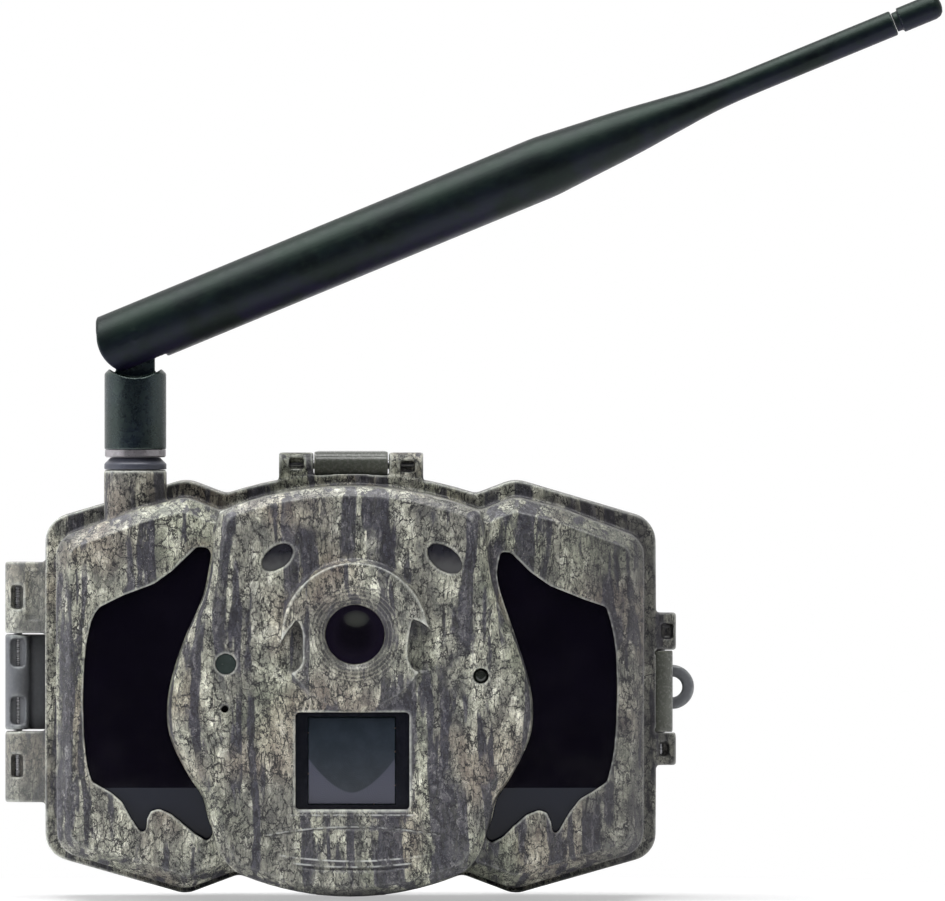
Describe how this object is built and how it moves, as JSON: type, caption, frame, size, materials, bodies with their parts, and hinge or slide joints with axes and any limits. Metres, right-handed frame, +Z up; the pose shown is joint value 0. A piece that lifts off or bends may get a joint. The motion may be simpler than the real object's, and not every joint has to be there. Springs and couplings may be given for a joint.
{
  "type": "trail camera",
  "caption": "Bark-camouflage trail camera with hinged case, two infrared windows, lens pod, motion sensor and a swivelling whip antenna",
  "frame": {"origin": "mouth of the tripod socket, at the bottom centre of the rear half", "axes": "+X to the right seen from the front, -Y out of the front face towards the scene, +Z up"},
  "size_m": [0.2064, 0.078, 0.1986],
  "materials": {
    "camo_housing": "moulded ABS with a printed bark camouflage film, satin",
    "dark_housing": "moulded ABS, fine texture",
    "latch_olive": "olive moulded nylon, satin",
    "steel": "plated steel",
    "black_acrylic": "infrared-pass acrylic, polished",
    "clear_lens": "dark coated lens glass and clear moulded windows",
    "fresnel_plastic": "grey infrared-transmitting polyethylene, satin",
    "circuit_board": "glass-epoxy board with solder mask",
    "component_black": "moulded component bodies",
    "antenna_black": "moulded flexible sleeve, satin",
    "antenna_metal": "plated ring nut",
    "brass": "turned brass",
    "rubber": "moulded silicone rubber",
    "switch_plastic": "light grey moulded nylon",
    "cell_wrap": "printed shrink wrap, plain"
  },
  "bodies": {
    "rear_half": {"rear_shell": "camo_housing", "battery_frame": "dark_housing", "batteries": "cell_wrap", "battery_contacts": "steel", "seal_ring": "rubber", "tripod_insert": "brass", "power_socket": "steel", "frame_screws": "steel"},
    "front_half": {"front_shell": "camo_housing", "hinge_pin": "steel", "latch_pins": "steel", "ir_window_left": "black_acrylic", "ir_window_right": "black_acrylic", "led_boards": "circuit_board", "ir_leds": "clear_lens", "lens_window": "clear_lens", "lens_barrel": "dark_housing", "lens_elements": "clear_lens", "lens_holder": "dark_housing", "sensor_board": "circuit_board", "image_sensor": "component_black", "pir_bezel": "dark_housing", "pir_lens": "fresnel_plastic", "pir_sensor": "steel", "oval_windows": "clear_lens", "light_sensor_window": "clear_lens", "microphone": "dark_housing", "status_led": "clear_lens", "main_board": "circuit_board", "board_modules": "component_black", "antenna_socket": "brass", "antenna_base_ring": "antenna_black", "front_panel": "dark_housing", "panel_screws": "steel", "display": "black_acrylic", "tact_switches": "component_black", "mode_switch_body": "dark_housing", "card_slots": "steel", "usb_port": "steel", "speaker": "dark_housing"},
    "top_latch_lever": {"top_latch": "latch_olive"},
    "side_latch_lever": {"side_latch": "latch_olive"},
    "antenna_swivel": {"antenna_nut": "antenna_metal", "antenna_sleeve": "antenna_black"},
    "antenna_arm": {"antenna_elbow": "antenna_black", "elbow_pin": "steel", "antenna_whip": "antenna_black", "antenna_tip": "antenna_black"},
    "key_up": {"button_up": "rubber"},
    "key_down": {"button_down": "rubber"},
    "key_left": {"button_left": "rubber"},
    "key_right": {"button_right": "rubber"},
    "key_ok": {"button_ok": "rubber"},
    "mode_slider": {"mode_switch": "switch_plastic"},
    "memory_card": {"sd_card": "component_black"},
    "network_card": {"sim_card": "component_black"},
    "filter_slider": {"ir_cut_slider": "component_black", "ir_cut_filters": "clear_lens"},
    "socket_plug": {"power_plug": "rubber"}
  },
  "joints": [
    {"name": "case_hinge", "type": "hinge", "parent": "rear_half", "child": "front_half", "pos_m": [-0.0734, -0.012, 0.047], "axis": [0, 0, -1], "range_deg": [0, 150]},
    {"name": "top_latch_swing", "type": "hinge", "parent": "front_half", "child": "top_latch_lever", "pos_m": [0, -0.015, 0.0952], "axis": [1, 0, 0], "range_deg": [0, 95]},
    {"name": "side_latch_swing", "type": "hinge", "parent": "front_half", "child": "side_latch_lever", "pos_m": [0.0683, -0.015, 0.045], "axis": [0, 0, -1], "range_deg": [0, 95]},
    {"name": "antenna_swivel", "type": "hinge", "parent": "front_half", "child": "antenna_swivel", "pos_m": [-0.0473, -0.027, 0.098], "axis": [0, 0, 1], "continuous": true},
    {"name": "antenna_elbow", "type": "hinge", "parent": "antenna_swivel", "child": "antenna_arm", "pos_m": [-0.0473, -0.027, 0.1237], "axis": [0, -1, 0], "range_deg": [-22.4, 67.6]},
    {"name": "press_up", "type": "slide", "parent": "front_half", "child": "key_up", "axis": [0, -1, 0], "range_m": [0, 0.0006], "stiffness_N_per_m": 300},
    {"name": "press_down", "type": "slide", "parent": "front_half", "child": "key_down", "axis": [0, -1, 0], "range_m": [0, 0.0006], "stiffness_N_per_m": 300},
    {"name": "press_left", "type": "slide", "parent": "front_half", "child": "key_left", "axis": [0, -1, 0], "range_m": [0, 0.0006], "stiffness_N_per_m": 300},
    {"name": "press_right", "type": "slide", "parent": "front_half", "child": "key_right", "axis": [0, -1, 0], "range_m": [0, 0.0006], "stiffness_N_per_m": 300},
    {"name": "press_ok", "type": "slide", "parent": "front_half", "child": "key_ok", "axis": [0, -1, 0], "range_m": [0, 0.0006], "stiffness_N_per_m": 300},
    {"name": "mode_slide", "type": "slide", "parent": "front_half", "child": "mode_slider", "axis": [1, 0, 0], "range_m": [0, 0.0068]},
    {"name": "memory_card_eject", "type": "slide", "parent": "front_half", "child": "memory_card", "axis": [0, 1, 0], "range_m": [0, 0.004]},
    {"name": "network_card_eject", "type": "slide", "parent": "front_half", "child": "network_card", "axis": [0, 1, 0], "range_m": [0, 0.004]},
    {"name": "filter_shift", "type": "slide", "parent": "front_half", "child": "filter_slider", "axis": [1, 0, 0], "range_m": [0, 0.0065]},
    {"name": "power_plug_pull", "type": "slide", "parent": "rear_half", "child": "socket_plug", "axis": [0, 0, -1], "range_m": [0, 0.01]}
  ]
}
